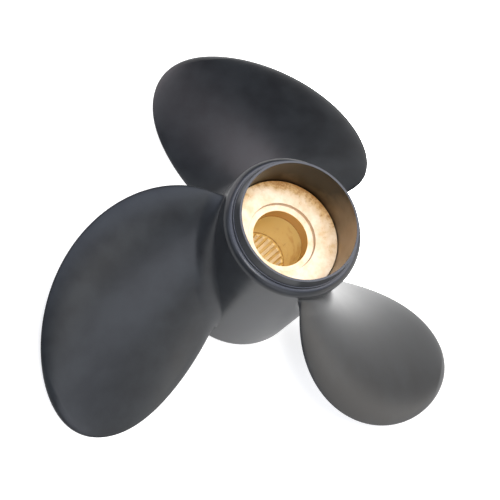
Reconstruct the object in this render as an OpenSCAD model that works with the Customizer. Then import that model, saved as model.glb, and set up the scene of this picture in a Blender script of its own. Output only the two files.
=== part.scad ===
// Three-blade boat propeller: a one-piece aluminium casting (hub barrel and
// three blades) on a splined bronze core, with a rubber cushion between them.
// +Z is the shaft axis and points forward, out of the open front of the hub.
// The origin is on the axis, in the plane where the shaft bore begins.
// All sizes are in millimetres.

/* [Blades] */
// Diameter swept by the blade tips
diameter = 356; // [300:1:430]
// Pitch of the blades at the hub, left-hand
pitch_root = 382; // [280:1:460]
// Pitch of the blades at the tip
pitch_tip = 373; // [280:1:460]
// Blade width at the hub, along the pitch line
width_root = 112; // [80:1:122]
// Blade width half way out
width_mid = 163; // [110:1:185]
// Blade width that the tip is rounded down from
width_tip = 130; // [90:1:170]
// How square the tip is: higher is squarer
tip_fullness = 4.9; // [3:0.1:8]
// How far the tip trails behind the blade's centre line
tip_skew = 66; // [0:1:90]
// How far the tip leans aft of the root
tip_rake = 42; // [0:1:60]
// Height of the blade's centre line at the hub, above the bore mouth
blade_z = -27; // [-32:0.5:-22]
// Thickness of the blade at the hub
thick_root = 12.5; // [8:0.1:18]
// Thickness of the blade near the tip
thick_tip = 4.2; // [3:0.1:8]
// Hollow of the pressure face, as a share of the width
camber = 0.022; // [0:0.001:0.05]
// Share of the thickness that a section keeps out to its rounded edges
edge_share = 0.35; // [0.1:0.05:0.9]
// Radius of the fillet between a blade and the hub
root_fillet = 11; // [4:0.5:14]

/* [Hub barrel] */
// Inner diameter of the open front cavity
cavity_d = 85; // [76:0.5:100]
// Wall between the cavity and the outside of the barrel
barrel_wall = 8.7; // [7.4:0.1:14]
// Length of the barrel behind the front shoulder
barrel_len = 117; // [97:0.5:150]
// Radius of the rounding at the front shoulder
shoulder_r = 6; // [4.5:0.1:9]
// Width of the rounded shoulder, seen from the front
shoulder_w = 3.8; // [2:0.1:4.2]
// Height of the bead round the spigot's foot
bead_h = 1.9; // [0.8:0.1:3]
// Width of that bead
bead_w = 0.7; // [0.4:0.1:1]
// Length of the spigot at the front
spigot_len = 7.6; // [4:0.1:12]
// Wall of the spigot at its foot
spigot_foot_w = 3; // [2.4:0.1:3.2]
// Width of the flat lip at the very front
lip_w = 1.7; // [1:0.1:2.2]
// How far the cushion's bore steps in behind the cavity
cushion_step = 2.5; // [1:0.1:5]
// Thickness of the wall that closes the barrel at the aft end
aft_wall = 6.2; // [4:0.1:12]
// Rounding of the aft outer edge
aft_edge_r = 2.5; // [0.5:0.1:5]

/* [Bronze core] */
// Number of splines
spline_count = 26; // [18:1:32]
// Diameter at the bottom of the spline grooves
spline_root_d = 40; // [33:0.1:48]
// Depth of the spline grooves
spline_depth = 1.5; // [0.8:0.1:2.2]
// Depth below the bore mouth at which the splines start
spline_start = 46; // [30:0.5:60]
// Clearance on radius of the plain bore over the splines that pass through it
plain_clear = 0.2; // [0.1:0.05:0.5]
// How far the pilot at the bore's mouth steps out from the plain bore
pilot_step = 0.3; // [0.1:0.05:1]
// Length of that pilot
pilot_len = 10.4; // [5:0.1:20]
// Width of the seat round the pilot, which is the floor of the recess
seat_w = 4.7; // [3:0.1:7]
// Depth of the recess in the flange
recess_depth = 3.5; // [1:0.1:5]
// Thickness of the front flange, round the recess
flange_t = 8; // [6:0.1:12]
// Gap round the flange's edge, inside the cavity
flange_gap = 0.5; // [0.2:0.05:1.5]
// Wall of the sleeve outside the spline grooves
sleeve_wall = 7; // [4:0.1:9]
// How far the sleeve stands out of the aft wall
sleeve_proud = 1; // [0.2:0.1:3]
// Size of the chamfers at the sleeve's aft end
end_chamfer = 0.8; // [0.3:0.1:1.5]

/* [Rubber cushion] */
// Gap between the cushion and the back of the flange, and the aft wall
cushion_gap = 0.3; // [0.2:0.1:1]
// Radial running clearance between the cushion and the sleeve
twist_clear = 0.05; // [0.02:0.01:0.1]
// Gap between the back of the flange and the step that it faces
step_gap = 0.4; // [0.2:0.1:2]
// Gap round the sleeve in the aft wall
aft_gap = 4; // [2:0.1:6]

/* [Hidden] */
$fn = 96;

cavity_r = cavity_d / 2;
hub_r = cavity_r + barrel_wall;
tip_r = diameter / 2;
spline_root_r = spline_root_d / 2;
spline_tip_r = spline_root_r - spline_depth;
plain_r = spline_root_r + plain_clear;
pilot_r = plain_r + pilot_step;
recess_r = pilot_r + seat_w;
sleeve_r = spline_root_r + sleeve_wall;
aft_hole_r = sleeve_r + aft_gap;
flange_r = cavity_r - flange_gap;
cushion_r = cavity_r - cushion_step;
edge_r = hub_r - shoulder_w;
shoulder_rise = sqrt(pow(shoulder_r, 2) - pow(shoulder_r - shoulder_w, 2));
spigot_foot_r = cavity_r + spigot_foot_w;
// the blade surface starts just under the skin of the barrel
blade_r0 = hub_r - 1.9;
flange_front = recess_depth;
flange_back = recess_depth - flange_t;
step_z = flange_back - step_gap;
shoulder_z = 22.5;
edge_z = shoulder_z + shoulder_rise;
spigot_z = edge_z + bead_h;
front_z = spigot_z + spigot_len;
aft_z = shoulder_z - barrel_len;
cushion_front = flange_back - cushion_gap;
cushion_back = aft_z + aft_wall + cushion_gap;
sleeve_back = aft_z - sleeve_proud;

// ---- blades -------------------------------------------------------------
// A blade is a stack of closed sections. Each lies on a cylinder round the
// shaft: v runs along the pitch line (leading edge positive), w across it
// (suction face positive), and r is the cylinder's radius.
side_n = 15;     // points along each face of a section
loop_n = 2 * side_n;
fillet_n = 6;    // sections through the root fillet
span_n = 19;     // sections from the fillet to the tip

function mix3(a, b, c, t) = a * (1 - t) * (1 - 2 * t) + 4 * b * t * (1 - t) + c * t * (2 * t - 1);
function span_t(r) = max(0, (r - blade_r0) / (tip_r - blade_r0));
function width_at(t) = sqrt(max(0, 1 - pow(t, tip_fullness))) * mix3(width_root, width_mid, width_tip, t);
function pitch_at(t) = pitch_root + (pitch_tip - pitch_root) * t;
function skew_at(t) = -tip_skew * pow(t, 2.5);
function rake_at(t) = -tip_rake * t * (1.09 - 0.09 * t);
function thick_at(t) = thick_tip + (thick_root - thick_tip) * pow(1 - t, 1.25);
function edge_fade(t) = min(1, sqrt(max(0, 1 - t)) * 5);
// how square the edges are: round in the root, nearly square from the middle outwards
function blunt_at(t) = min(6, 1.5 + 13 * t);

// growth of the section inside the root fillet, at height h over the barrel
fillet_start = 0.05 * root_fillet;
function fillet_at(h) = let (g = root_fillet - max(0, h + fillet_start))
    g <= 0 ? 0 : root_fillet - sqrt(pow(root_fillet, 2) - g * g);

function section_pt(r, a) =
    let (t = span_t(r),
         grow = fillet_at(r - hub_r),
         half = width_at(t) / 2 + 0.3 * grow,
         x = cos(a),
         inner = 1 - x * x,
         thick = thick_at(t) * edge_fade(t) / 2 * (edge_share + (1 - edge_share) * inner)
             + grow * (0.4 + 0.6 * inner),
         edge = sqrt(max(0, 1 - pow(x * x, blunt_at(t)))),
         v = skew_at(t) + half * x,
         w = camber * width_at(t) * inner + thick * edge * sign(sin(a)),
         phi = atan(pitch_at(t) / (2 * PI * r)),
         th = (-v * cos(phi) + w * sin(phi)) / r * 180 / PI,
         z = blade_z + rake_at(t) + v * sin(phi) + w * cos(phi))
    [r * cos(th), r * sin(th), z];

function section_r(i) =
    i == 0 ? hub_r - 1.6 :
    i <= fillet_n ? hub_r + root_fillet * pow((i - 0.6) / (fillet_n - 0.6), 1.5) :
    let (s = (i - fillet_n) / span_n,
         u = s < 0.6 ? s * 0.8 / 0.6 : 1 - 0.2 * pow((1 - s) / 0.4, 2.1))
    hub_r + root_fillet + (tip_r - hub_r - root_fillet) * min(u, 0.9995);

rings = fillet_n + span_n + 1;

module blade_shape() {
    pts = [for (i = [0:rings - 1]) for (j = [0:loop_n - 1])
        section_pt(section_r(i), 360 * (j + 0.5) / loop_n)];
    polyhedron(
        points = pts,
        faces = concat(
            [[for (j = [loop_n - 1:-1:0]) j]],
            [[for (j = [0:loop_n - 1]) (rings - 1) * loop_n + j]],
            [for (i = [0:rings - 2]) for (j = [0:loop_n - 1])
                let (k = (j + 1) % loop_n, a = i * loop_n, b = a + loop_n)
                [a + j, b + k, b + j]],
            [for (i = [0:rings - 2]) for (j = [0:loop_n - 1])
                let (k = (j + 1) % loop_n, a = i * loop_n, b = a + loop_n)
                [a + j, a + k, b + k]]),
        convexity = 6);
}

// ---- hub barrel ---------------------------------------------------------
function arc_pts(cx, cy, r, a0, a1, n) =
    [for (i = [0:n]) let (a = a0 + (a1 - a0) * i / n) [cx + r * cos(a), cy + r * sin(a)]];

barrel_skin = concat(
    [[cavity_r + lip_w, front_z], [spigot_foot_r, spigot_z],
     [spigot_foot_r + bead_w, spigot_z], [spigot_foot_r + bead_w, edge_z]],
    arc_pts(hub_r - shoulder_r, shoulder_z, shoulder_r, acos(1 - shoulder_w / shoulder_r), 0, 6),
    [[hub_r, aft_z + aft_edge_r]],
    arc_pts(hub_r - aft_edge_r, aft_z + aft_edge_r, aft_edge_r, -30, -90, 2));

module barrel_outside() {
    rotate_extrude() polygon(concat([[0, front_z]], barrel_skin, [[0, aft_z]]));
}

module barrel_bores() {
    // open front cavity
    translate([0, 0, step_z]) cylinder(r = cavity_r, h = front_z - step_z + 1);
    // bore for the cushion
    translate([0, 0, aft_z + aft_wall]) cylinder(r = cushion_r, h = step_z - aft_z - aft_wall + 1);
    // hole in the aft wall
    translate([0, 0, aft_z - 1]) cylinder(r = aft_hole_r, h = aft_wall + 2);
}

module hub_barrel() {
    color("#4a4d53") difference() {
        barrel_outside();
        barrel_bores();
    }
}

module blade(n) {
    color("#45484e") difference() {
        rotate([0, 0, 120 * (n - 1)]) blade_shape();
        barrel_outside();
    }
}

module blade_1() { blade(1); }
module blade_2() { blade(2); }
module blade_3() { blade(3); }

// ---- rubber cushion -----------------------------------------------------
module rubber_cushion() {
    color("#1d1d1f") difference() {
        translate([0, 0, cushion_back]) cylinder(r = cushion_r, h = cushion_front - cushion_back);
        translate([0, 0, cushion_back - 1])
            cylinder(r = sleeve_r + twist_clear, h = cushion_front - cushion_back + 2);
    }
}

// ---- bronze core --------------------------------------------------------
module spline_space() {
    // the outline of the hole between the teeth, one groove at a time
    step = 360 / spline_count;
    linear_extrude(height = 1 - sleeve_back - spline_start)
        polygon([for (i = [0:spline_count - 1]) for (p = [
            [-0.24, spline_tip_r], [-0.16, spline_root_r], [0.16, spline_root_r], [0.24, spline_tip_r]])
            let (a = (i + p[0]) * step) [p[1] * cos(a), p[1] * sin(a)]]);
}

module bronze_core() {
    color("#d8b070") difference() {
        union() {
            translate([0, 0, flange_back]) cylinder(r = flange_r, h = flange_t);
            translate([0, 0, sleeve_back + end_chamfer])
                cylinder(r = sleeve_r, h = flange_back - sleeve_back - end_chamfer + 0.5);
            translate([0, 0, sleeve_back])
                cylinder(r1 = sleeve_r - end_chamfer, r2 = sleeve_r, h = end_chamfer);
        }
        // recess in the flange
        cylinder(r = recess_r, h = flange_front + 1);
        // pilot at the mouth of the bore
        translate([0, 0, -pilot_len]) cylinder(r = pilot_r, h = pilot_len + 1);
        // plain bore
        translate([0, 0, -spline_start]) cylinder(r = plain_r, h = spline_start);
        // splines
        translate([0, 0, sleeve_back - 1]) spline_space();
        // lead-in at the aft end
        translate([0, 0, sleeve_back - 0.01])
            cylinder(r1 = spline_root_r + end_chamfer, r2 = spline_root_r - 1, h = end_chamfer + 1);
    }
}

hub_barrel();
blade_1();
blade_2();
blade_3();
rubber_cushion();
bronze_core();
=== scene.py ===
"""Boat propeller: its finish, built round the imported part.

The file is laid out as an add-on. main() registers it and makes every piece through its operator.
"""

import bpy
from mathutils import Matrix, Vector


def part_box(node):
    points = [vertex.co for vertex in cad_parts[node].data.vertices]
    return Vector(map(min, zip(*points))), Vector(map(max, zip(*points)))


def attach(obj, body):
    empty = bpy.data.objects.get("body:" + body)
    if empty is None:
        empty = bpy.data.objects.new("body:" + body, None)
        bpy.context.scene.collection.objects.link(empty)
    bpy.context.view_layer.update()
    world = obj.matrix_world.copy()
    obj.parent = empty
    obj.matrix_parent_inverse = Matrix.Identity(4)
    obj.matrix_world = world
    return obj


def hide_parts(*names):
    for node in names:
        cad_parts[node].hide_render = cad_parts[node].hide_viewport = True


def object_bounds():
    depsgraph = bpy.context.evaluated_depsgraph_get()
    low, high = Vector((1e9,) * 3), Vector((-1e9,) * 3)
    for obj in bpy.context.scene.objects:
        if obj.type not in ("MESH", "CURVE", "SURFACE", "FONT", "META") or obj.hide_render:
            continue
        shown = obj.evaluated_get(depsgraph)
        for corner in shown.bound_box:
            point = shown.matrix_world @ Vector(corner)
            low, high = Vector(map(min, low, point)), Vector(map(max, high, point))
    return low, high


bl_info = {
    "name": "Boat Propeller",
    "version": (1, 0, 0),
    "blender": (4, 5, 0),
    "location": "View3D > Sidebar > Propeller",
    "description": "Builds a three-blade boat propeller on a splined bronze core",
    "category": "Add Mesh",
}

import math

import bpy
from bpy.props import FloatProperty, FloatVectorProperty, IntProperty, PointerProperty
from mathutils import Quaternion, Vector

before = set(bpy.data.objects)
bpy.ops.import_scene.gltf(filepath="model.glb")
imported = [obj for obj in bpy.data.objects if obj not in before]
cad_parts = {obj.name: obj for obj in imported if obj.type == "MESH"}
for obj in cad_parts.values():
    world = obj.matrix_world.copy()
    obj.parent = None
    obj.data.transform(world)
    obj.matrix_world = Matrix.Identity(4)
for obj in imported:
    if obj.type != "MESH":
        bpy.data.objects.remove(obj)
CAD_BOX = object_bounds()
BARREL_LOW, BARREL_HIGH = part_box("hub_barrel")
CORE_LOW, CORE_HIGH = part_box("bronze_core")
MM = 0.001


# ---- sizes and colours -------------------------------------------------------------------
def length(name, description, default):
    return FloatProperty(name=name, description=description, default=default, unit="LENGTH", precision=5)


def angle(name, description, degrees):
    return FloatProperty(name=name, description=description, default=math.radians(degrees), subtype="ANGLE")


def share(name, description, default):
    return FloatProperty(name=name, description=description, default=default, min=0.0)


def hex_linear(code):
    """A hex sRGB colour as linear red, green, blue and alpha."""
    parts = [int(code[i:i + 2], 16) / 255 for i in (1, 3, 5)]
    return [c / 12.92 if c <= 0.04045 else ((c + 0.055) / 1.055) ** 2.4 for c in parts] + [1.0]


def colour(name, description, code):
    return FloatVectorProperty(name=name, description=description, size=4, min=0.0, max=1.0, subtype="COLOR",
                               default=hex_linear(code))


class BladeSizes(bpy.types.PropertyGroup):
    """Sizes of the three blades"""
    tip_radius: length("Tip radius", "Radius swept by the tips", 178 * MM)
    root_pitch: length("Root pitch", "Left-hand pitch at the hub", 382 * MM)
    tip_pitch: length("Tip pitch", "Left-hand pitch at the tip", 373 * MM)
    root_width: length("Root width", "Width at the hub, along the pitch line", 112 * MM)
    middle_width: length("Middle width", "Width half way out", 163 * MM)
    tip_width: length("Tip width", "Width that the tip is rounded down from", 130 * MM)
    tip_fullness: share("Tip fullness", "How square the tip is", 4.9)
    tip_skew: length("Tip skew", "How far the tip trails", 66 * MM)
    tip_rake: length("Tip rake", "How far the tip leans aft", 42 * MM)
    height: length("Height", "Height of the centre line at the hub", -27 * MM)
    root_thickness: length("Root thickness", "Thickness at the hub", 12.5 * MM)
    tip_thickness: length("Tip thickness", "Thickness near the tip", 4.2 * MM)
    camber: share("Camber", "Hollow of the pressure face, as a share of the width", 0.022)
    edge_share: share("Edge share", "Thickness near the edges, as a share of the thickness at the middle", 0.35)
    fillet: length("Root fillet", "Radius of the fillet on the barrel", 11 * MM)
    around: IntProperty(name="Points round", description="Points round a section", default=112)
    along: IntProperty(name="Sections", description="Sections from hub to tip", default=150)


class HubSizes(bpy.types.PropertyGroup):
    """Sizes of the barrel and of the core"""
    barrel_radius: length("Barrel radius", "Outside of the barrel", round(BARREL_HIGH.x, 4))
    cavity_radius: length("Cavity radius", "Inside of the open front", 42.5 * MM)
    shoulder_radius: length("Shoulder radius", "Rounding behind the bead", 6 * MM)
    shoulder_width: length("Shoulder width", "Width of the rounding from the front", 3.8 * MM)
    sleeve_radius: length("Sleeve radius", "Outside of the bronze sleeve", 27 * MM)
    spline_root: length("Spline root", "Radius at the bottom of the grooves", 20 * MM)
    spline_depth: length("Spline depth", "Depth of the grooves", 1.5 * MM)
    spline_top: length("Spline start", "Height at which the splines start", -46 * MM)
    spline_count: IntProperty(name="Splines", description="Number of spline teeth", default=26)


class Finishes(bpy.types.PropertyGroup):
    """Colours of the finishes"""
    enamel: colour("Enamel", "The enamel on the casting", "#16181c")
    enamel_light: colour("Enamel, light", "Where the enamel is lighter", "#1f2226")
    # rubbed enamel of the front lip, also painted lighter there as a painted highlight
    enamel_rubbed_and_lit: colour("Enamel, rubbed", "Where the enamel is rubbed thin", "#3f424c")
    # the cavity wall's two colours also carry painted shade on one side and painted light on the other
    bore_film_and_shade: colour("Cavity wall", "The bored wall of the front cavity", "#211c13")
    bore_bare_and_lit: colour("Cavity wall, light", "Where that wall is lighter", "#97836a")
    # bronze of the flange, painted paler than the bore's gold as a painted highlight
    bronze: colour("Bronze", "Bronze as turned", "#ecdac3")
    bronze_dull: colour("Bronze, dull", "Bronze where it has dulled", "#d0ab76")
    # brown of the tarnish, also used for painted shade at the bore's steps and on the recess wall
    tarnish_and_shade: colour("Tarnish", "Brown specks on the bronze", "#96601f")
    bore_gold: colour("Bore", "Bronze in the bore", "#f5dc90")
    bore_worn: colour("Bore, worn", "The crests of the spline teeth", "#fdebc4")
    # also the painted shade in the bore's mouth and in the spline grooves
    bore_brown: colour("Bore, brown", "Old grease in the bore", "#cf9644")
    rubber: colour("Rubber", "The cushion", "#141415")
    bloom: colour("Rubber bloom", "Grey bloom on the cushion", "#232324")


class StageSizes(bpy.types.PropertyGroup):
    """The camera and its view"""
    azimuth: angle("Azimuth", "Direction of the camera round the shaft axis", 145.75)
    elevation: angle("Elevation", "Height of the camera", 62.04)
    roll: angle("Roll", "Turn of the camera about its own axis", 47.46)
    distance: length("Distance", "From the camera to its aim", 1.366)
    lens: FloatProperty(name="Lens", description="Focal length in millimetres", default=140.9)
    softbox_away: length("Softbox distance", "From each softbox to the propeller", 2.0)
    room_light: share("Room light", "Strength of the light from all round", 0.02)
    floor_glow: share("Floor glow", "Light that the floor gives off by itself", 0.72)
    # a painted glow spot on the floor: light that no lamp gives
    glow_spot: share("Lamp glow", "Light of the floor over its lamp", 4.0)


# ---- small helpers -----------------------------------------------------------------------
def add(tree, kind, inputs=None, **settings):
    """Adds a node with its settings, and gives each named input a value or a link."""
    node = tree.nodes.new(kind)
    for key, value in settings.items():
        setattr(node, key, value)
    for key, value in (inputs or {}).items():
        if isinstance(value, bpy.types.NodeSocket):
            tree.links.new(value, node.inputs[key])
        else:
            node.inputs[key].default_value = value
    return node


def follow(tree, rule, values):
    """Turns a table of (name, operation, terms) into linked Math nodes. A term is a number or a name in values."""
    for name, operation, *terms in rule:
        inputs = {i: values[t] if isinstance(t, str) else t for i, t in enumerate(terms)}
        values[name] = add(tree, "ShaderNodeMath", inputs, operation=operation).outputs[0]
    return values


def held(name, low, high):
    """Rows of a rule that hold a value between two bounds."""
    return (name, "MAXIMUM", name, low), (name, "MINIMUM", name, high)


def within(name, term, limit, blend):
    """Rows of a rule that give 0 where the term is past the limit, and 1 from a blend below it down."""
    return (name, "SUBTRACT", limit, term), (name, "DIVIDE", name, blend), *held(name, 0.0, 1.0)


def new_tree(name, sizes):
    """A Geometry Nodes tree with one named input for each size, and its input and output nodes."""
    tree = bpy.data.node_groups.new(name, "GeometryNodeTree")
    tree.interface.new_socket("Geometry", in_out="OUTPUT", socket_type="NodeSocketGeometry")
    for key, value in sizes.items():
        kind = {int: "NodeSocketInt", float: "NodeSocketFloat"}.get(type(value), "NodeSocketMaterial")
        tree.interface.new_socket(key, in_out="INPUT", socket_type=kind)
    return tree, add(tree, "NodeGroupInput"), add(tree, "NodeGroupOutput")


def grow(name, tree, sizes, bevel=0.0):
    """Runs a tree on an empty object and keeps the result as a plain mesh at the origin."""
    piece = bpy.data.objects.new(name, bpy.data.meshes.new(name))
    bpy.context.scene.collection.objects.link(piece)
    modifier = piece.modifiers.new("Rule", "NODES")
    modifier.node_group = tree
    for item in tree.interface.items_tree:
        if item.in_out == "INPUT":
            modifier[item.identifier] = sizes[item.name]
    if bevel:
        edges = piece.modifiers.new("Edges", "BEVEL")
        edges.width, edges.segments, edges.limit_method = bevel, 2, "ANGLE"
    graph = bpy.context.evaluated_depsgraph_get()
    made = bpy.data.meshes.new_from_object(piece.evaluated_get(graph), preserve_all_data_layers=True, depsgraph=graph)
    piece.modifiers.clear()
    piece.data = made
    made.name = name
    return piece


def soften(outline, steps=5):
    """Rounds the corners of a closed outline of (radius, height, rounding), all in millimetres, and adds a
    point just outside each rounding so that the flats stay flat."""
    longest = 0.45  # the most of a side that a rounding takes
    apart = 0.12  # how far the extra point is from a rounding, as a share of the rounding's reach
    points = []
    for i, (r, z, rounding) in enumerate(outline):
        corner = Vector((r, z))
        before, after = Vector(outline[i - 1][:2]) - corner, Vector(outline[(i + 1) % len(outline)][:2]) - corner
        if rounding == 0:
            points.append(corner)
            continue
        half = before.angle(after) / 2
        reach = min(rounding / math.tan(half), longest * before.length, longest * after.length)
        size = reach * math.tan(half)
        middle = corner + (before.normalized() + after.normalized()).normalized() * (size / math.sin(half))
        start, end = corner + before.normalized() * reach, corner + after.normalized() * reach
        hold = apart * reach
        a, b = start - middle, end - middle
        turn = math.atan2(a.x * b.y - a.y * b.x, a.dot(b))
        points.append(start + before.normalized() * hold)
        for k in range(steps + 1):
            c, s = math.cos(turn * k / steps), math.sin(turn * k / steps)
            points.append(middle + Vector((a.x * c - a.y * s, a.x * s + a.y * c)))
        points.append(end + after.normalized() * hold)
    return points


def lathe(name, points, segments, materials, choose=lambda r, z: 0):
    """Turns a closed outline round the shaft axis. choose gives the material of a face from its middle."""
    rows = len(points)
    turns = [(math.cos(math.tau * k / segments), math.sin(math.tau * k / segments)) for k in range(segments)]
    vertices = [(p.x * MM * c, p.x * MM * s, p.y * MM) for c, s in turns for p in points]
    faces, slots = [], []
    for k in range(segments):
        a, b = k * rows, (k + 1) % segments * rows
        for i in range(rows):
            j = (i + 1) % rows
            faces.append((a + i, b + i, b + j, a + j))
            middle = (points[i] + points[j]) / 2
            slots.append(choose(middle.x, middle.y))
    mesh = bpy.data.meshes.new(name)
    mesh.from_pydata(vertices, [], faces)
    for material in materials:
        mesh.materials.append(material)
    mesh.polygons.foreach_set("material_index", slots)
    mesh.shade_smooth()
    mesh.update()
    piece = bpy.data.objects.new(name, mesh)
    bpy.context.scene.collection.objects.link(piece)
    return piece


def direction(turn, rise):
    """The unit vector at an angle round the shaft axis and an angle up from level."""
    return Vector((math.cos(turn) * math.cos(rise), math.sin(turn) * math.cos(rise), math.sin(rise)))


# ---- materials ---------------------------------------------------------------------------
BUMP_DEPTH = 0.05 * MM


def finish(name):
    """Turns a function that gives a surface's inputs into one that gives the material, made at its first use."""
    def wrap(fill):
        def get():
            material = bpy.data.materials.get(name)
            if material is None:
                material = bpy.data.materials.new(name)
                material.use_nodes = True
                tree = material.node_tree
                tree.nodes.clear()
                inputs = fill(tree, bpy.context.scene.propeller_finish)
                surface = add(tree, "ShaderNodeBsdfPrincipled", inputs)
                add(tree, "ShaderNodeOutputMaterial", {"Surface": surface.outputs[0]})
            return material
        return get
    return wrap


def noise(tree, place, scale, detail, roughness=0.5, **settings):
    inputs = {"Vector": place, "Scale": scale, "Detail": detail, "Roughness": roughness}
    return add(tree, "ShaderNodeTexNoise", inputs, **settings).outputs[0]


def remap(tree, value, low, high, at_low=0.0, at_high=1.0, **settings):
    """A value stretched so that low becomes at_low and high becomes at_high, and held between the two."""
    inputs = {"Value": value, 1: low, 2: high, 3: at_low, 4: at_high}
    return add(tree, "ShaderNodeMapRange", inputs, **settings).outputs[0]


def mix(tree, part, first, second):
    """The colour that lies part of the way from first to second."""
    return add(tree, "ShaderNodeMix", {0: part, 6: first, 7: second}, data_type="RGBA").outputs[2]


def bump(tree, height, strength):
    inputs = {"Height": height, "Strength": strength, "Distance": BUMP_DEPTH}
    return add(tree, "ShaderNodeBump", inputs).outputs[0]


def part_of(tree, vector, axis):
    """One of the three parts of a vector."""
    return add(tree, "ShaderNodeSeparateXYZ", {0: vector}).outputs["XYZ".index(axis)]


# The heights between which the enamel turns from whole to rubbed and painted lighter, on the front lip; the lighter
# part is a painted highlight.
LIP_WHOLE, LIP_RUBBED_AND_LIT = 27.3 * MM, 27.8 * MM


@finish("Satin enamel on cast aluminium")
def satin_enamel(tree, colours):
    """Sprayed on the bare casting: a faint orange peel, and a sheen that handling has made a little uneven. On the
    up-facing flats of the hub's front lip it is rubbed thin and painted greyer and lighter, partly wear and partly a
    painted highlight."""
    here = add(tree, "ShaderNodeTexCoord").outputs
    place, facing = here["Object"], here["Normal"]
    broad = noise(tree, place, 18.0, 3.0)
    marks = noise(tree, place, 70.0, 5.0, 0.6)
    peel = noise(tree, place, 700.0, 2.0)
    cloudy = add(tree, "ShaderNodeMath", {0: broad, 1: marks}, operation="ADD")
    shade = remap(tree, cloudy.outputs[0], 0.8, 1.2)
    base = mix(tree, shade, colours.enamel, colours.enamel_light)
    sheen = remap(tree, marks, 0.3, 0.7, 0.33, 0.36)
    relief = bump(tree, peel, 0.08)
    # up-facing flats of the front lip: rubbed wear and a painted highlight
    level = remap(tree, part_of(tree, facing, "Z"), 0.8, 0.95)
    front = remap(tree, part_of(tree, place, "Z"), LIP_WHOLE, LIP_RUBBED_AND_LIT)
    rubbed_and_lit = add(tree, "ShaderNodeMath", {0: level, 1: front}, operation="MULTIPLY")
    coat = mix(tree, rubbed_and_lit.outputs[0], base, colours.enamel_rubbed_and_lit)
    return {"Base Color": coat, "Roughness": sheen, "IOR": 1.42, "Normal": relief}


# The cavity wall is painted darker on one side of the shaft and lighter on the other, as painted shade and light. The
# # turn that brings that side onto the X axis, and how far from the shaft axis the change reaches each way.
SHADE_TURN = math.radians(-25)
SHADE_REACH = 22 * MM


@finish("Bored aluminium with a brown film")
def bored_aluminium(tree, colours):
    """Bored on a lathe and left to dull: fine rings round the wall, with a brown film over them, painted darker on one
    side of the shaft and lighter on the other as painted shade and light.
    """
    place = add(tree, "ShaderNodeTexCoord").outputs["Object"]
    rings = add(tree, "ShaderNodeMapping", {"Vector": place, "Scale": (12.0, 12.0, 900.0)})
    tool = noise(tree, rings.outputs[0], 1.0, 3.0)
    film = noise(tree, place, 40.0, 4.0)
    around = add(tree, "ShaderNodeMapping", {"Vector": place, "Rotation": (0, 0, SHADE_TURN)})
    # painted shade and light: darker on one side of the shaft, lighter on the other
    side = remap(tree, part_of(tree, around.outputs[0], "X"), SHADE_REACH, -SHADE_REACH, -0.6, 0.55)
    # brown film where thin, plus the painted light of the lighter side
    bare = add(tree, "ShaderNodeMath", {0: film, 1: side}, operation="ADD", use_clamp=True)
    base = mix(tree, bare.outputs[0], colours.bore_film_and_shade, colours.bore_bare_and_lit)
    relief = bump(tree, tool, 0.1)
    return {"Base Color": base, "Metallic": 0.7, "Roughness": 0.42, "Normal": relief}


# The bronze core's profile, in millimetres, which its finish follows.
FLANGE_RADIUS, FLANGE_THICK = 42.0, 8.0
RECESS_RADIUS = 25.2
PILOT_RADIUS, PILOT_END = 20.5, -10.4
BORE_RADIUS, BORE_START = 20.2, -10.7
RELIEF_RADIUS = 20.8
END_CHAMFER = 0.8

# Where its finish changes, each with the width that it changes over: the radius from which water stood
# # on the flange, the radii that the bore's finish and the worn crests end at, and the depth of the bore's
# # mouth. Then the heights of the painted shadow lines at the bore's two steps, each with half its width, and
# # the height that the painted shade in the grooves starts at.
WET_RADIUS, WET_BLEND = 32 * MM, 10 * MM
BORE_LIMIT, BORE_BLEND = 20.9 * MM, 0.3 * MM
CREST_LIMIT, CREST_BLEND = 19.3 * MM, 0.5 * MM
MOUTH_DEPTH, MOUTH_BLEND = 11.2 * MM, 0.5 * MM
PILOT_STEP, PILOT_LINE = -10.5 * MM, 0.4 * MM
SPLINE_STEP, SPLINE_LINE = -46.2 * MM, 0.6 * MM
GROOVES_FROM = -46.5 * MM

# wet: how near a point is to the flange's edge, on the side where water has stood on it.
# inside: 1 in the bore, 0 outside it. mouth: 1 in the bore as far as its first step, 0 past it.
WET_RULE = (
    ("xx", "MULTIPLY", "x", "x"),
    ("rr", "MULTIPLY_ADD", "y", "y", "xx"),
    ("radius", "SQRT", "rr"),
    ("edge", "SUBTRACT", "radius", WET_RADIUS),
    ("edge", "DIVIDE", "edge", WET_BLEND),
    ("edge", "MAXIMUM", "edge", 0.0),
    ("edge", "POWER", "edge", 1.4),
    ("side", "MULTIPLY", "x", 0.995),
    ("side", "MULTIPLY_ADD", "y", -0.1, "side"),
    ("side", "DIVIDE", "side", "radius"),
    ("side", "MAXIMUM", "side", 0.0),
    ("side", "POWER", "side", 1.4),
    ("wet", "MULTIPLY", "edge", "side"),
    *within("inside", "radius", BORE_LIMIT, BORE_BLEND),
    ("mouth", "ADD", "z", MOUTH_DEPTH),
    ("mouth", "DIVIDE", "mouth", MOUTH_BLEND),
    *held("mouth", 0.0, 1.0),
    ("mouth", "MULTIPLY", "mouth", "inside"),
    # crest: 1 on the spline teeth's worn crests, 0 in the grooves and outside the splines
    *within("crest", "radius", CREST_LIMIT, CREST_BLEND),
    ("groove", "LESS_THAN", "z", GROOVES_FROM),
    ("groove", "MULTIPLY", "groove", "inside"),
    ("groove", "SUBTRACT", "groove", "crest"),
    ("groove", "MAXIMUM", "groove", 0.0),
)
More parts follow.
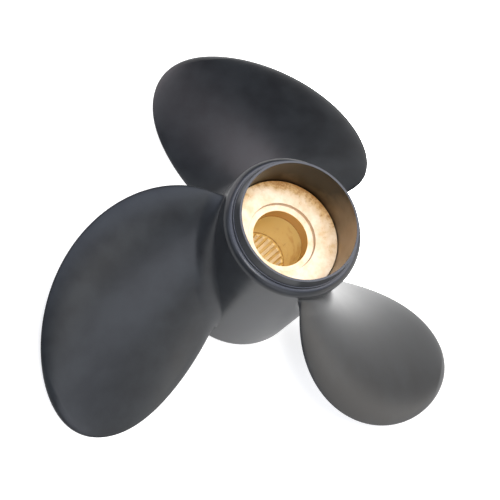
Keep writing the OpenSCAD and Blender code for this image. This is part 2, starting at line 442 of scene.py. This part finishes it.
TARNISH_AND_SHADE_RULE = (
    # brown specks, thicker where it has been wet
    ("mottle", "MULTIPLY", "cloud", 0.7),
    ("mottle", "MULTIPLY_ADD", "speck", 1.3, "mottle"),
    ("dirt_and_shade", "MULTIPLY_ADD", "wet", 0.62, "mottle"),
    ("dirt_and_shade", "SUBTRACT", "dirt_and_shade", 1.2),
    ("dirt_and_shade", "MULTIPLY", "dirt_and_shade", 2.4),
    *held("dirt_and_shade", 0.0, 0.8),
    ("haze", "MULTIPLY_ADD", "wet", 0.6, "cloud"),
    # hairline scratches
    ("scratch", "SUBTRACT", "hair", 0.74),
    ("scratch", "MULTIPLY", "scratch", 9.0),
    *held("scratch", 0.0, 0.3),
    ("dirt_and_shade", "MAXIMUM", "dirt_and_shade", "scratch"),
    # brown clouds of old grease in the bore, more of it on one side, and painted shade in the bore's mouth
    ("lean", "MULTIPLY_ADD", "y", 1.7, "x"),
    ("lean", "DIVIDE", "lean", "radius"),
    ("grease_and_shade", "MULTIPLY_ADD", "lean", -0.045, "smear"),
    ("grease_and_shade", "MULTIPLY_ADD", "mouth", 0.4, "grease_and_shade"),
    ("grease_and_shade", "SUBTRACT", "grease_and_shade", 0.53),
    ("grease_and_shade", "MULTIPLY", "grease_and_shade", 4.0),
    *held("grease_and_shade", 0.0, 0.8),
    ("grease_and_shade", "MULTIPLY", "grease_and_shade", "inside"),
    # painted shade in the spline grooves
    ("groove", "MULTIPLY", "groove", 0.1),
    ("grease_and_shade", "MAXIMUM", "grease_and_shade", "groove"),
    # and a painted shadow line at each step of the bore
    ("line", "COMPARE", "z", PILOT_STEP, PILOT_LINE),
    ("line_2", "COMPARE", "z", SPLINE_STEP, SPLINE_LINE),
    ("line", "MAXIMUM", "line", "line_2"),
    ("line", "MULTIPLY", "line", "inside"),
    ("line", "MULTIPLY", "line", 0.7),
    ("dirt_and_shade", "MAXIMUM", "dirt_and_shade", "line"),
    # painted shade on the wall of the flange's recess
    ("wall", "COMPARE", "radius", RECESS_RADIUS * MM, 0.2 * MM),
    ("wall", "MULTIPLY", "wall", 0.4),
    ("dirt_and_shade", "MAXIMUM", "dirt_and_shade", "wall"),
)


@finish("Turned bronze, lightly tarnished")
def turned_bronze(tree, colours):
    """Pale gold on the flange and deeper gold in the bore; the flange's paler colour is a painted highlight. It is
    cloudy where it has dulled, with brown specks of tarnish near the flange's edge, brown clouds of old grease in the
    bore, and painted shade at the bore's mouth, in the spline grooves, in a line at each step of the bore and on the
    wall of the flange's recess.
    The thin oxide scatters some light, so it isn't fully metallic. The tool's rings are too fine to show, so they are
    drawn 0.7 mm apart."""
    place = add(tree, "ShaderNodeTexCoord").outputs["Object"]
    axes = add(tree, "ShaderNodeSeparateXYZ", {0: place}).outputs
    values = follow(tree, WET_RULE, {"x": axes[0], "y": axes[1], "z": axes[2]})
    turned = add(tree, "ShaderNodeCombineXYZ", {0: values["radius"], 1: values["z"]})
    rings = noise(tree, turned.outputs[0], 1400.0, 2.0, noise_dimensions="2D")
    values["cloud"] = noise(tree, place, 90.0, 6.0, 0.65)
    values["speck"] = noise(tree, place, 380.0, 5.0, 0.7)
    values["smear"] = noise(tree, place, 60.0, 5.0, 0.6)
    drawn = add(tree, "ShaderNodeMapping", {"Vector": place, "Rotation": (0, 0, 1.75), "Scale": (30.0, 1100.0, 30.0)})
    values["hair"] = noise(tree, drawn.outputs[0], 1.0, 1.0)
    follow(tree, TARNISH_AND_SHADE_RULE, values)
    patches = remap(tree, values["haze"], 0.42, 0.8)
    # the flange's paler bronze is a painted highlight
    flange = mix(tree, patches, colours.bronze, colours.bronze_dull)
    bore = mix(tree, values["grease_and_shade"], colours.bore_gold, colours.bore_brown)
    worn = mix(tree, values["crest"], bore, colours.bore_worn)
    both = mix(tree, values["inside"], flange, worn)
    base = mix(tree, values["dirt_and_shade"], both, colours.tarnish_and_shade)
    dull = remap(tree, values["dirt_and_shade"], 0.0, 1.0, 0.5, 0.65)
    relief = bump(tree, rings, 0.12)
    metal = remap(tree, values["inside"], 0.0, 1.0, 0.2, 0.15)
    return {"Base Color": base, "Metallic": metal, "Roughness": dull, "Normal": relief}


@finish("Moulded rubber")
def moulded_rubber(tree, colours):
    """Moulded in place round the sleeve: matt, with a fine grain and a little grey bloom."""
    place = add(tree, "ShaderNodeTexCoord").outputs["Object"]
    cloud = noise(tree, place, 90.0, 5.0)
    grain = noise(tree, place, 1500.0, 2.0)
    base = mix(tree, cloud, colours.rubber, colours.bloom)
    relief = bump(tree, grain, 0.3)
    return {"Base Color": base, "Roughness": 0.8, "Normal": relief}


# The painted glow spot on the floor: where it is, and how far its glow spreads in the acrylic.
GLOW_SPOT_PLACE = (120 * MM, -70 * MM)
GLOW_SPOT_REACH = 170 * MM


@finish("White acrylic light table")
def light_table(tree, colours):
    """The floor: matt white acrylic, lit softly from below, with a painted glow spot far brighter than the rest."""
    stage = bpy.context.scene.propeller_stage
    place = add(tree, "ShaderNodeTexCoord").outputs["Object"]
    # painted glow spot: the floor's emission rises steeply near this place
    lamp = add(tree, "ShaderNodeMapping", {
        "Vector": place, "Location": (-GLOW_SPOT_PLACE[0], -GLOW_SPOT_PLACE[1], 0), "Scale": (1, 1, 0)})
    away = add(tree, "ShaderNodeVectorMath", {0: lamp.outputs[0]}, operation="LENGTH")
    spot = remap(tree, away.outputs["Value"], 0.0, GLOW_SPOT_REACH, stage.floor_glow + stage.glow_spot, stage.floor_glow,
                 interpolation_type="SMOOTHERSTEP")
    fibre = noise(tree, place, 3.0, 2.0)
    base = mix(tree, fibre, hex_linear("#bebebe"), hex_linear("#c2c2c2"))
    return {"Base Color": base, "Roughness": 0.9, "Emission Color": hex_linear("#ffffff"), "Emission Strength": spot}


# ---- rules for what Geometry Nodes make --------------------------------------------------
# A blade is a stack of sections, each on a cylinder round the shaft. "around" runs round a section from
# the leading edge over the suction face, "along" from the hub to the tip. The first section is drawn in to
# a point inside the barrel's wall, which closes the foot.
FOOT_DEPTH = 5 * MM
# How fast the thickness falls off towards the tip, and how close to the tip it starts to thin out.
TAPER_POWER, TIP_THINNING = 1.25, 5.0
# How much of the fillet goes to the section's width at each edge, and to its thickness at the edges.
FILLET_TO_WIDTH, FILLET_AT_EDGE = 0.3, 0.4
# The edge's bluntness at the hub, how fast it grows and where it stops. A greater power is a blunter edge.
BLUNT_AT_HUB, BLUNT_GROWTH, BLUNT_MOST = 1.5, 13.0, 6.0
# How late the tip trails, and how far the line of the rake bows.
SKEW_POWER, RAKE_BOW = 2.5, 0.09
BLADE_RULE = (
    ("around", "ADD", "grid x", 0.5),
    ("along", "ADD", "grid y", 0.5),
    ("Steps", "SUBTRACT", "Sections", 1.0),
    ("lead", "DIVIDE", 1.0, "Steps"),
    ("half_lead", "MULTIPLY", "lead", 0.5),
    ("shown", "GREATER_THAN", "along", "half_lead"),
    ("past", "SUBTRACT", "along", "lead"),
    ("rest", "SUBTRACT", 1.0, "lead"),
    ("share", "DIVIDE", "past", "rest"),
    ("share", "MAXIMUM", "share", 0.0),
    # sections crowd together in the fillet and at the tip
    ("swing", "MULTIPLY", "share", math.pi),
    ("eased", "COSINE", "swing"),
    ("eased", "MULTIPLY_ADD", "eased", -0.5, 0.5),
    ("reach", "SUBTRACT", "Tip Radius", "Hub Radius"),
    ("over", "MULTIPLY", "eased", "reach"),
    ("buried", "SUBTRACT", 1.0, "shown"),
    ("buried", "MULTIPLY", "buried", -FOOT_DEPTH),
    ("foot", "ADD", "Hub Radius", "buried"),
    ("radius", "ADD", "foot", "over"),
    ("t_top", "SUBTRACT", "radius", "Start Radius"),
    ("t_all", "SUBTRACT", "Tip Radius", "Start Radius"),
    ("t", "DIVIDE", "t_top", "t_all"),
    *held("t", 0.0, 1.0),
    ("left", "SUBTRACT", 1.0, "t"),
    # width: a curve through the three widths, rounded off at the tip
    ("tip_curve", "POWER", "t", "Tip Fullness"),
    ("tip_curve", "SUBTRACT", 1.0, "tip_curve"),
    ("tip_curve", "MAXIMUM", "tip_curve", 0.0),
    ("tip_curve", "SQRT", "tip_curve"),
    ("from_root", "MULTIPLY_ADD", "t", -2.0, 1.0),
    ("from_root", "MULTIPLY", "from_root", "left"),
    ("from_root", "MULTIPLY", "from_root", "Root Width"),
    ("from_middle", "MULTIPLY", "t", "left"),
    ("from_middle", "MULTIPLY", "from_middle", 4.0),
    ("from_tip", "MULTIPLY_ADD", "t", 2.0, -1.0),
    ("from_tip", "MULTIPLY", "from_tip", "t"),
    ("width", "MULTIPLY_ADD", "from_middle", "Middle Width", "from_root"),
    ("width", "MULTIPLY_ADD", "from_tip", "Tip Width", "width"),
    ("width", "MULTIPLY", "width", "tip_curve"),
    # thickness
    ("taper", "POWER", "left", TAPER_POWER),
    ("extra", "SUBTRACT", "Root Thickness", "Tip Thickness"),
    ("thick", "MULTIPLY_ADD", "extra", "taper", "Tip Thickness"),
    ("fade", "SQRT", "left"),
    ("fade", "MULTIPLY", "fade", TIP_THINNING),
    ("fade", "MINIMUM", "fade", 1.0),
    ("thick", "MULTIPLY", "thick", "fade"),
    ("thick", "MULTIPLY", "thick", 0.5),
    # the fillet widens and thickens the section as it nears the barrel
    ("gap", "SUBTRACT", "Fillet", "over"),
    ("gap", "MAXIMUM", "gap", 0.0),
    ("gap_gap", "MULTIPLY", "gap", "gap"),
    ("arc", "MULTIPLY", "Fillet", "Fillet"),
    ("arc", "SUBTRACT", "arc", "gap_gap"),
    ("arc", "MAXIMUM", "arc", 0.0),
    ("arc", "SQRT", "arc"),
    ("widen", "SUBTRACT", "Fillet", "arc"),
    ("half", "MULTIPLY", "width", 0.5),
    ("half", "MULTIPLY_ADD", "widen", FILLET_TO_WIDTH, "half"),
    ("half", "MULTIPLY", "half", "shown"),
    # place on the section: v towards the leading edge, w towards the suction face
    ("turn", "MULTIPLY", "around", math.tau),
    ("across", "COSINE", "turn"),
    ("across_2", "MULTIPLY", "across", "across"),
    ("inner", "SUBTRACT", 1.0, "across_2"),
    ("blunt", "MULTIPLY", "t", BLUNT_GROWTH),
    ("blunt", "ADD", "blunt", BLUNT_AT_HUB),
    ("blunt", "MINIMUM", "blunt", BLUNT_MOST),
    ("edge", "POWER", "across_2", "blunt"),
    ("edge", "SUBTRACT", 1.0, "edge"),
    ("edge", "MAXIMUM", "edge", 0.0),
    ("edge", "SQRT", "edge"),
    ("hump", "SUBTRACT", 1.0, "Edge Share"),
    ("hump", "MULTIPLY_ADD", "hump", "inner", "Edge Share"),
    ("up", "SINE", "turn"),
    ("up", "SIGN", "up"),
    ("up", "MULTIPLY", "up", "edge"),
    ("up", "MULTIPLY", "up", "shown"),
    ("fuller", "MULTIPLY_ADD", "inner", 1 - FILLET_AT_EDGE, FILLET_AT_EDGE),
    ("widen", "MULTIPLY", "widen", "fuller"),
    ("thick", "MULTIPLY_ADD", "thick", "hump", "widen"),
    ("skew", "POWER", "t", SKEW_POWER),
    ("skew", "MULTIPLY", "skew", "Tip Skew"),
    ("v", "MULTIPLY", "half", "across"),
    ("v", "SUBTRACT", "v", "skew"),
    ("bow", "MULTIPLY", "inner", "width"),
    ("bow", "MULTIPLY", "bow", "Camber"),
    ("bow", "MULTIPLY", "bow", "shown"),
    ("w", "MULTIPLY_ADD", "thick", "up", "bow"),
    # wind the section round the shaft
    ("pitch", "SUBTRACT", "Tip Pitch", "Root Pitch"),
    ("pitch", "MULTIPLY_ADD", "pitch", "t", "Root Pitch"),
    ("girth", "MULTIPLY", "radius", math.tau),
    ("slope", "ARCTAN2", "pitch", "girth"),
    ("cos_slope", "COSINE", "slope"),
    ("sin_slope", "SINE", "slope"),
    ("v_round", "MULTIPLY", "v", "cos_slope"),
    ("w_round", "MULTIPLY", "w", "sin_slope"),
    ("round", "SUBTRACT", "w_round", "v_round"),
    ("round", "DIVIDE", "round", "radius"),
    ("round", "ADD", "round", "Turn"),
    ("rake", "MULTIPLY_ADD", "t", -RAKE_BOW, 1 + RAKE_BOW),
    ("rake", "MULTIPLY", "rake", "t"),
    ("rake", "MULTIPLY", "rake", "Tip Rake"),
    ("z", "MULTIPLY_ADD", "v", "sin_slope", "Height"),
    ("z", "MULTIPLY_ADD", "w", "cos_slope", "z"),
    ("z", "SUBTRACT", "z", "rake"),
    ("cos_round", "COSINE", "round"),
    ("sin_round", "SINE", "round"),
    ("x", "MULTIPLY", "cos_round", "radius"),
    ("y", "MULTIPLY", "sin_round", "radius"),
)


def blade_tree(sizes):
    """A blade by rule: a grid bent into place by BLADE_RULE and closed at its seam and poles."""
    tree, start, end = new_tree("Helical blade", sizes)
    sheet = add(tree, "GeometryNodeMeshGrid", {
        "Size X": 1.0, "Size Y": 1.0, "Vertices X": start.outputs["Points Round"],
        "Vertices Y": start.outputs["Sections"]})
    here = add(tree, "ShaderNodeSeparateXYZ", {0: add(tree, "GeometryNodeInputPosition").outputs[0]})
    values = {name: start.outputs[name] for name in sizes}
    values |= {"grid x": here.outputs[0], "grid y": here.outputs[1]}
    follow(tree, BLADE_RULE, values)
    place = add(tree, "ShaderNodeCombineXYZ", {0: values["x"], 1: values["y"], 2: values["z"]})
    bent = add(tree, "GeometryNodeSetPosition", {"Geometry": sheet.outputs[0], "Position": place.outputs[0]})
    closed = add(tree, "GeometryNodeMergeByDistance", {"Geometry": bent.outputs[0], "Distance": 0.001 * MM})
    outward = add(tree, "GeometryNodeFlipFaces", {0: closed.outputs[0]})
    smooth = add(tree, "GeometryNodeSetShadeSmooth", {"Geometry": outward.outputs[0]})
    coated = add(tree, "GeometryNodeSetMaterial", {
        "Geometry": smooth.outputs[0], "Material": start.outputs["Material"]})
    tree.links.new(coated.outputs[0], end.inputs[0])
    return tree


# A tooth is a box of unit size, drawn out to its real size and narrowed towards its tip.
TOOTH_RULE = (
    ("outward", "ADD", "x", 0.5),
    ("depth", "SUBTRACT", "Base Radius", "Tip Radius"),
    ("radial", "MULTIPLY_ADD", "outward", "depth", "Tip Radius"),
    ("spread", "SUBTRACT", "Base Width", "Tip Width"),
    ("wide", "MULTIPLY_ADD", "outward", "spread", "Tip Width"),
    ("sideways", "MULTIPLY", "y", "wide"),
    # the ends slope back from the tip, as the lead-in of a broached spline does
    ("inward", "SUBTRACT", 1.0, "outward"),
    ("cut", "MULTIPLY", "inward", "Lead In"),
    ("cut", "MULTIPLY", "cut", -2.0),
    ("tall", "ADD", "Length", "cut"),
    ("height", "MULTIPLY", "z", "tall"),
    ("height", "ADD", "height", "Middle"),
    # each tooth's turn about the shaft
    ("step", "DIVIDE", math.tau, "Count"),
    ("spin", "ADD", "index", 0.5),
    ("spin", "MULTIPLY", "spin", "step"),
)


def spline_tree(sizes):
    """The teeth of the splined bore: one tooth, repeated round the shaft."""
    tree, start, end = new_tree("Spline teeth", sizes)
    block = add(tree, "GeometryNodeMeshCube", {"Size": (1.0, 1.0, 1.0)})
    here = add(tree, "ShaderNodeSeparateXYZ", {0: add(tree, "GeometryNodeInputPosition").outputs[0]})
    values = {name: start.outputs[name] for name in sizes}
    values |= {"x": here.outputs[0], "y": here.outputs[1], "z": here.outputs[2],
               "index": add(tree, "GeometryNodeInputIndex").outputs[0]}
    follow(tree, TOOTH_RULE, values)
    place = add(tree, "ShaderNodeCombineXYZ", {0: values["radial"], 1: values["sideways"], 2: values["height"]})
    tooth = add(tree, "GeometryNodeSetPosition", {"Geometry": block.outputs[0], "Position": place.outputs[0]})
    turn = add(tree, "ShaderNodeCombineXYZ", {2: values["spin"]})
    posts = add(tree, "GeometryNodePoints", {"Count": start.outputs["Count"]})
    ring = add(tree, "GeometryNodeInstanceOnPoints", {
        "Points": posts.outputs[0], "Instance": tooth.outputs[0], "Rotation": turn.outputs[0]})
    real = add(tree, "GeometryNodeRealizeInstances", {0: ring.outputs[0]})
    faced = add(tree, "GeometryNodeSetMaterial", {"Geometry": real.outputs[0], "Material": start.outputs["Material"]})
    tree.links.new(faced.outputs[0], end.inputs[0])
    return tree


# ---- operators ---------------------------------------------------------------------------
FLOOR_SIZE = 8.0
FLOOR_GAP = 0.1 * MM
CAMERA_AIM = Vector((-15.2, 20.6, 0.0)) * MM
CAMERA_REACH = 20.0
SENSOR_WIDTH = 36.0

# The softboxes: name, direction round the shaft axis and height in degrees, diameter in metres, watts, colour.
LIGHTS = (
    ("overhead", 0, 88, 1.3, 23, "#ffffff"),
    ("front", 150, 70, 0.35, 23, "#fffdf8"),
    ("back, high", -34, 60, 1.3, 15.5, "#fffaf2"),
    ("side, near", -95, 5, 1.7, 18, "#fff9f0"),
    ("side, left", -130, 16, 1.5, 7, "#ffffff"),
    ("side, right", -60, 5, 1.7, 6, "#fff9f0"),
    ("side, far", 50, 5, 1.3, 13.5, "#fff5fc"),
    ("upper, left", -170, 30, 1.5, 16.5, "#f0f4ff"),
    ("upper, far", 98, 45, 1.3, 11, "#dfe8ff"),
)


class PROPELLER_OT_stage(bpy.types.Operator):
    """Make the floor, the light and the camera"""
    bl_idname = "propeller.stage"
    bl_label = "Stage"

    def execute(self, context):
        scene = context.scene
        sizes = scene.propeller_stage
        bpy.ops.mesh.primitive_plane_add(size=FLOOR_SIZE, location=(0, 0, CAD_BOX[0].z - FLOOR_GAP))
        floor = context.object
        floor.name = "floor"
        floor.data.materials.append(light_table())
        world = bpy.data.worlds.new("Studio")
        world.use_nodes = True
        room = world.node_tree.nodes["Background"].inputs
        room["Strength"].default_value = sizes.room_light
        room["Color"].default_value = (1, 1, 1, 1)
        scene.world = world
        for name, turn, rise, size, power, code in LIGHTS:
            light = bpy.data.lights.new(name, "AREA")
            light.shape, light.size, light.energy = "DISK", size, power
            light.color = hex_linear(code)[:3]
            lamp = bpy.data.objects.new(name, light)
            lamp.location = direction(math.radians(turn), math.radians(rise)) * sizes.softbox_away
            lamp.rotation_euler = (-lamp.location).to_track_quat("-Z", "Y").to_euler()
            lamp.visible_camera = False
            scene.collection.objects.link(lamp)
        camera = bpy.data.objects.new("camera", bpy.data.cameras.new("camera"))
        camera.data.lens, camera.data.sensor_width = sizes.lens, SENSOR_WIDTH
        camera.data.clip_end = CAMERA_REACH
        back = direction(sizes.azimuth, sizes.elevation)
        camera.location = CAMERA_AIM + back * sizes.distance
        camera.rotation_mode = "QUATERNION"
        camera.rotation_quaternion = (-back).to_track_quat("-Z", "Y") @ Quaternion((0, 0, 1), sizes.roll)
        scene.collection.objects.link(camera)
        scene.camera = camera
        scene.view_settings.view_transform = "Standard"
        return {"FINISHED"}


# How far inside the barrel's skin a blade's fillet ends, and how far inside it the blade's sizes start to
# change, in metres.
BLADE_SINK, BLADE_START = 0.01 * MM, 1.9 * MM

# Sizes of the lathed pieces, in millimetres. The cushion sits in the barrel's seat, between an aft
# lip and the floor of the front cavity.
SEAT_RADIUS, SEAT_TOP = 40.0, -4.9
AFT_LIP_RADIUS, AFT_LIP_THICK = 31.0, 6.2
# The bead on the front: its outer radius past the cavity's, the start and end of its slope, and its height.
BEAD_OUT, BEAD_SLOPE_OUT, BEAD_SLOPE_IN, BEAD_HIGH = 3.7, 3.0, 1.7, 1.9
# The centre of the shoulder's rounding, above the aft end, and the steps that it is drawn in.
SHOULDER_CENTRE, SHOULDER_STEPS = 117.0, 12
# The cushion's inner radius, and where and how deep its ends are dished.
CUSHION_INSIDE, CUSHION_MIDDLE, CUSHION_HOLLOW = 27.06, 33.5, 0.05

# A spline tooth: its width as a share of the spacing, at the root and at the tip; and in metres, how far
# it reaches into the wall, its lead-in and its bevel.
TOOTH_AT_ROOT, TOOTH_AT_TIP = 0.68, 0.52
TOOTH_SINK, TOOTH_LEAD_IN, TOOTH_BEVEL = 0.3 * MM, 2.4 * MM, 0.12 * MM


class PROPELLER_OT_blades(bpy.types.Operator):
    """Make the three blades, with the fillets that run out on the barrel"""
    bl_idname = "propeller.blades"
    bl_label = "Blades"

    def execute(self, context):
        blade, hub = context.scene.propeller_blades, context.scene.propeller_hub
        sizes = {
            "Points Round": blade.around + 1, "Sections": blade.along,
            "Hub Radius": hub.barrel_radius - BLADE_SINK, "Start Radius": hub.barrel_radius - BLADE_START,
            "Tip Radius": blade.tip_radius, "Root Pitch": blade.root_pitch, "Tip Pitch": blade.tip_pitch,
            "Root Width": blade.root_width, "Middle Width": blade.middle_width, "Tip Width": blade.tip_width,
            "Tip Fullness": blade.tip_fullness, "Tip Skew": blade.tip_skew, "Tip Rake": blade.tip_rake,
            "Height": blade.height, "Root Thickness": blade.root_thickness, "Tip Thickness": blade.tip_thickness,
            "Camber": blade.camber, "Edge Share": blade.edge_share, "Fillet": blade.fillet, "Turn": 0.0,
            "Material": satin_enamel()}
        tree = blade_tree(sizes)
        for number, name in enumerate(("first_blade", "second_blade", "third_blade")):
            piece = grow(name, tree, sizes | {"Turn": math.tau * number / 3})
            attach(piece, "casting")
            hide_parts(f"blade_{number + 1}")
        return {"FINISHED"}


class PROPELLER_OT_barrel(bpy.types.Operator):
    """Make the barrel with its open front, bead and rounded shoulder"""
    bl_idname = "propeller.barrel"
    bl_label = "Barrel"

    def execute(self, context):
        hub = context.scene.propeller_hub
        out, cavity = hub.barrel_radius / MM, hub.cavity_radius / MM
        front, aft = BARREL_HIGH.z / MM, BARREL_LOW.z / MM
        big, wide = hub.shoulder_radius / MM, hub.shoulder_width / MM
        centre = aft + SHOULDER_CENTRE
        start = math.acos(1 - wide / big)
        ledge = centre + big * math.sin(start)
        turns = [start * k / SHOULDER_STEPS for k in range(SHOULDER_STEPS)]
        shoulder = [(out - big + big * math.cos(turn), centre + big * math.sin(turn), 0) for turn in turns]
        bead, lip = ledge + BEAD_HIGH, aft + AFT_LIP_THICK
        outline = [(AFT_LIP_RADIUS, aft, 0.6), (out, aft, 2.5), *shoulder, (out - wide, ledge, 0.1),
                   (cavity + BEAD_OUT, ledge, 0.1), (cavity + BEAD_OUT, bead, 0.15),
                   (cavity + BEAD_SLOPE_OUT, bead, 0.08), (cavity + BEAD_SLOPE_IN, front, 0.2),
                   (cavity, front, 0.15), (cavity, SEAT_TOP, 0.5), (SEAT_RADIUS, SEAT_TOP, 0.4),
                   (SEAT_RADIUS, lip, 0.6), (AFT_LIP_RADIUS, lip, 0.6)]

        def choose(r, z):
            bored = r < cavity + 0.02 and lip + 0.1 < z < front - 0.3
            return 1 if bored else 0

        piece = lathe("barrel", soften(outline), 320, [satin_enamel(), bored_aluminium()], choose)
        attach(piece, "casting")
        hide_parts("hub_barrel")
        return {"FINISHED"}


class PROPELLER_OT_cushion(bpy.types.Operator):
    """Make the rubber cushion between the barrel and the sleeve"""
    bl_idname = "propeller.cushion"
    bl_label = "Cushion"

    def execute(self, context):
        low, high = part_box("rubber_cushion")
        bottom, top = low.z / MM, high.z / MM
        outline = [(CUSHION_INSIDE, bottom, 1.0), (CUSHION_MIDDLE, bottom + CUSHION_HOLLOW, 3.0),
                   (SEAT_RADIUS, bottom, 1.0), (SEAT_RADIUS, top, 1.0),
                   (CUSHION_MIDDLE, top - CUSHION_HOLLOW, 3.0), (CUSHION_INSIDE, top, 1.0)]
        piece = lathe("cushion", soften(outline), 160, [moulded_rubber()])
        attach(piece, "casting")
        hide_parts("rubber_cushion")
        return {"FINISHED"}


class PROPELLER_OT_core(bpy.types.Operator):
    """Make the bronze core: flange, recess, pilot, bore and sleeve"""
    bl_idname = "propeller.core"
    bl_label = "Bronze core"

    def execute(self, context):
        hub = context.scene.propeller_hub
        root, sleeve = hub.spline_root / MM, hub.sleeve_radius / MM
        top, aft, start = CORE_HIGH.z / MM, CORE_LOW.z / MM, hub.spline_top / MM
        outline = [(root + END_CHAMFER, aft, 0.1), (sleeve - END_CHAMFER, aft, 0.15), (sleeve, aft + END_CHAMFER, 0.3),
                   (sleeve, top - FLANGE_THICK, 0.8), (FLANGE_RADIUS, top - FLANGE_THICK, 0.4),
                   (FLANGE_RADIUS, top, 0.4), (RECESS_RADIUS, top, 0.2), (RECESS_RADIUS, 0, 0.3),
                   (PILOT_RADIUS, 0, 0.2), (PILOT_RADIUS, PILOT_END, 0.05), (BORE_RADIUS, BORE_START, 0.05),
                   # a fine groove where the splines start
                   (BORE_RADIUS, start + 0.4, 0.1), (RELIEF_RADIUS, start + 0.4, 0.1),
                   (RELIEF_RADIUS, start - 0.3, 0.1), (root, start - 0.8, 0.1), (root, aft + END_CHAMFER, 0.1)]
        piece = lathe("core_turning", soften(outline, 4), 256, [turned_bronze()])
        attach(piece, "core")
        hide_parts("bronze_core")
        return {"FINISHED"}


class PROPELLER_OT_splines(bpy.types.Operator):
    """Make the spline teeth in the bore"""
    bl_idname = "propeller.splines"
    bl_label = "Splines"

    def execute(self, context):
        hub = context.scene.propeller_hub
        step = math.tau / hub.spline_count
        root, tip = hub.spline_root, hub.spline_root - hub.spline_depth
        top, bottom = hub.spline_top, CORE_LOW.z + END_CHAMFER * MM
        sizes = {"Count": hub.spline_count, "Tip Radius": tip, "Base Radius": root + TOOTH_SINK,
                 "Base Width": TOOTH_AT_ROOT * step * root, "Tip Width": TOOTH_AT_TIP * step * tip,
                 "Length": top - bottom, "Middle": (top + bottom) / 2, "Lead In": TOOTH_LEAD_IN,
                 "Material": turned_bronze()}
        piece = grow("spline_teeth", spline_tree(sizes), sizes, bevel=TOOTH_BEVEL)
        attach(piece, "core")
        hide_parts("bronze_core")
        return {"FINISHED"}


class PROPELLER_PT_panel(bpy.types.Panel):
    """Lists the pieces and their sizes"""
    bl_idname = "PROPELLER_PT_panel"
    bl_label = "Propeller"
    bl_space_type = "VIEW_3D"
    bl_region_type = "UI"
    bl_category = "Propeller"

    def draw(self, context):
        for group in GROUPS:
            settings = getattr(context.scene, group)
            for key in settings.bl_rna.properties.keys():
                if key not in ("rna_type", "name"):
                    self.layout.prop(settings, key)
        for operator in OPERATORS:
            self.layout.operator(operator.bl_idname)


GROUPS = {"propeller_blades": BladeSizes, "propeller_hub": HubSizes, "propeller_finish": Finishes,
          "propeller_stage": StageSizes}
OPERATORS = (PROPELLER_OT_stage, PROPELLER_OT_barrel, PROPELLER_OT_blades, PROPELLER_OT_cushion,
             PROPELLER_OT_core, PROPELLER_OT_splines)


def register():
    for item in (*GROUPS.values(), *OPERATORS, PROPELLER_PT_panel):
        bpy.utils.register_class(item)
    for name, group in GROUPS.items():
        setattr(bpy.types.Scene, name, PointerProperty(type=group))


def unregister():
    for name in GROUPS:
        delattr(bpy.types.Scene, name)
    for item in (PROPELLER_PT_panel, *reversed(OPERATORS), *GROUPS.values()):
        bpy.utils.unregister_class(item)


def main():
    register()
    for operator in OPERATORS:
        group, name = operator.bl_idname.split(".")
        getattr(getattr(bpy.ops, group), name)()


if __name__ == "__main__":
    main()
